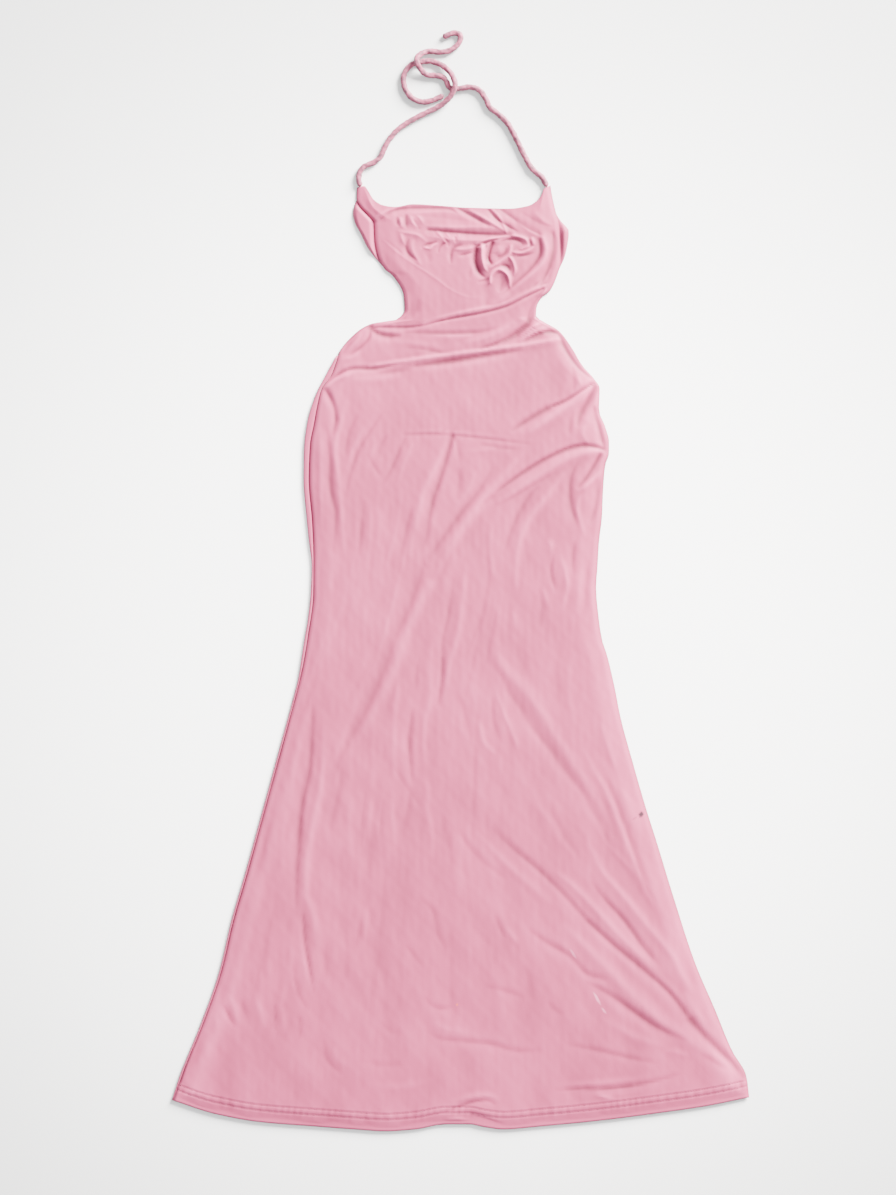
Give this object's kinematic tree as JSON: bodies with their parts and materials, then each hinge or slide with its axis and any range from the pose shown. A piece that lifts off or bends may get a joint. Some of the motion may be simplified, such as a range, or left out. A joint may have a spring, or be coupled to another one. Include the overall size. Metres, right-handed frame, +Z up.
{
  "type": "halter-neck maxi dress",
  "caption": "Halter-neck maxi dress in slinky jersey, laid flat with its front up: scooped neckline, side cut-outs, open back, flared skirt and loose neck ties.",
  "frame": {"origin": "on the surface that the dress lies on, below the middle of the dress without its ties", "axes": "+X towards the side seam on the picture's right, +Y from the hem towards the neck ties, +Z up out of the surface"},
  "size_m": [0.7501, 1.4298, 0.0146],
  "materials": {
    "jersey": "soft pink double-layer slinky jersey with a faint sheen",
    "tie_jersey": "the same jersey sewn and turned into narrow tubes"
  },
  "bodies": {
    "root": {"dress_front": "jersey", "dress_back_skirt": "jersey", "back_band": "jersey", "left_tie": "tie_jersey", "right_tie": "tie_jersey"}
  },
  "joints": []
}
